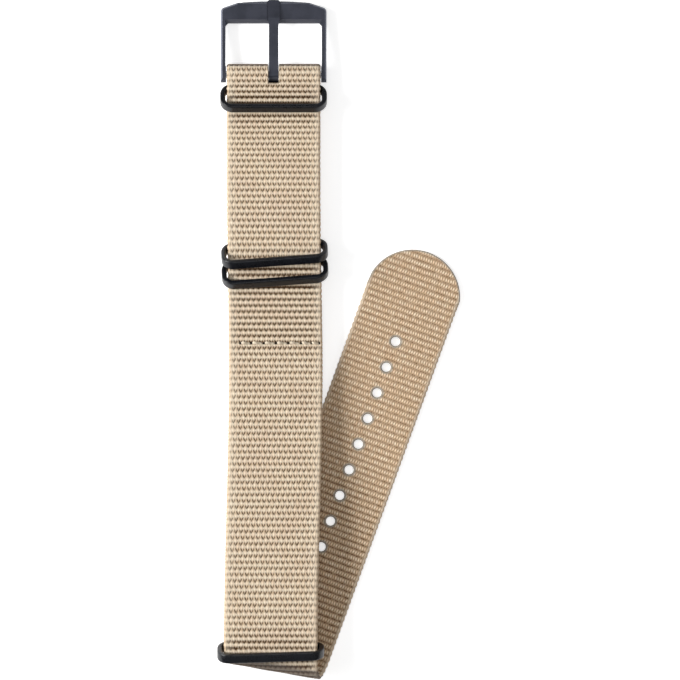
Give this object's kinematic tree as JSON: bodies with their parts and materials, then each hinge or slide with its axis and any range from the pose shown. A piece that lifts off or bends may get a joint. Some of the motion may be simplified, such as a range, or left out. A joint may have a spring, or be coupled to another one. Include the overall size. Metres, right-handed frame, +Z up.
{
  "type": "watch strap",
  "caption": "Pull-through woven watch strap with a pin buckle, dark keeper rings and an end ring, folded back on itself as it is packed.",
  "frame": {"origin": "centre of the packed strap's outline, on the table it lies on", "axes": "+X across the strap to the right as seen from the front, +Y from the fold to the buckle, +Z up from the table towards the strap's front"},
  "size_m": [0.0621, 0.1737, 0.0113],
  "materials": {
    "webbing": "ribbed weave",
    "thread": "sewing thread",
    "ring_black": "satin black coating",
    "buckle_grey": "satin dark grey coating",
    "bar_steel": "turned steel"
  },
  "bodies": {
    "tail": {"long_strap_tail": "webbing", "long_strap_fold": "webbing"},
    "band": {"long_strap_band": "webbing", "short_strap": "webbing", "seam_thread": "thread", "loop_thread": "thread"},
    "keeper_1": {"keeper_ring_1": "ring_black"},
    "keeper_2": {"keeper_ring_2": "ring_black"},
    "keeper_3": {"keeper_ring_3": "ring_black"},
    "end_ring": {"end_ring": "ring_black"},
    "buckle": {"buckle_frame": "buckle_grey", "spring_bar_tube": "bar_steel", "spring_bar_spring": "bar_steel"},
    "tongue": {"buckle_tongue": "buckle_grey"},
    "tip_left": {"spring_bar_tip_left": "bar_steel"},
    "tip_right": {"spring_bar_tip_right": "bar_steel"}
  },
  "joints": [
    {"name": "strap_unfold", "type": "hinge", "parent": "tail", "child": "band", "pos_m": [-0.0177, -0.0801, 0.00442], "axis": [0.985, -0.1728, 0], "range_deg": [0, 90], "deforming": ["long_strap_fold"]},
    {"name": "buckle_swing", "type": "hinge", "parent": "band", "child": "buckle", "pos_m": [-0.01695, 0.0678, 0.00281], "axis": [1, 0, 0], "range_deg": [-30, 30]},
    {"name": "tongue_swing", "type": "hinge", "parent": "buckle", "child": "tongue", "pos_m": [-0.01695, 0.0678, 0.00281], "axis": [1, 0, 0], "range_deg": [0, 60]},
    {"name": "bar_tip_left", "type": "slide", "parent": "buckle", "child": "tip_left", "axis": [1, 0, 0], "range_m": [0, 0.0012], "stiffness_N_per_m": 500, "springref_m": -0.0015, "deforming": ["spring_bar_spring"]},
    {"name": "bar_tip_right", "type": "slide", "parent": "buckle", "child": "tip_right", "axis": [-1, 0, 0], "range_m": [0, 0.0012], "stiffness_N_per_m": 500, "springref_m": -0.0015, "deforming": ["spring_bar_spring"]},
    {"name": "keeper_1_tilt", "type": "hinge", "parent": "band", "child": "keeper_1", "pos_m": [-0.01695, 0.0643, 0.00281], "axis": [1, 0, 0], "range_deg": [-30, 0]},
    {"name": "keeper_2_tilt", "type": "hinge", "parent": "band", "child": "keeper_2", "pos_m": [-0.01681, 0.02422, 0.00281], "axis": [0.9983, 0.0576, 0], "range_deg": [-80, 0]},
    {"name": "keeper_3_slide", "type": "slide", "parent": "band", "child": "keeper_3", "axis": [0, -1, 0], "range_m": [0, 0.006]},
    {"name": "end_ring_tilt", "type": "hinge", "parent": "band", "child": "end_ring", "pos_m": [-0.0177, -0.07815, 0.00442], "axis": [1, 0, 0], "range_deg": [-50, 0]}
  ]
}
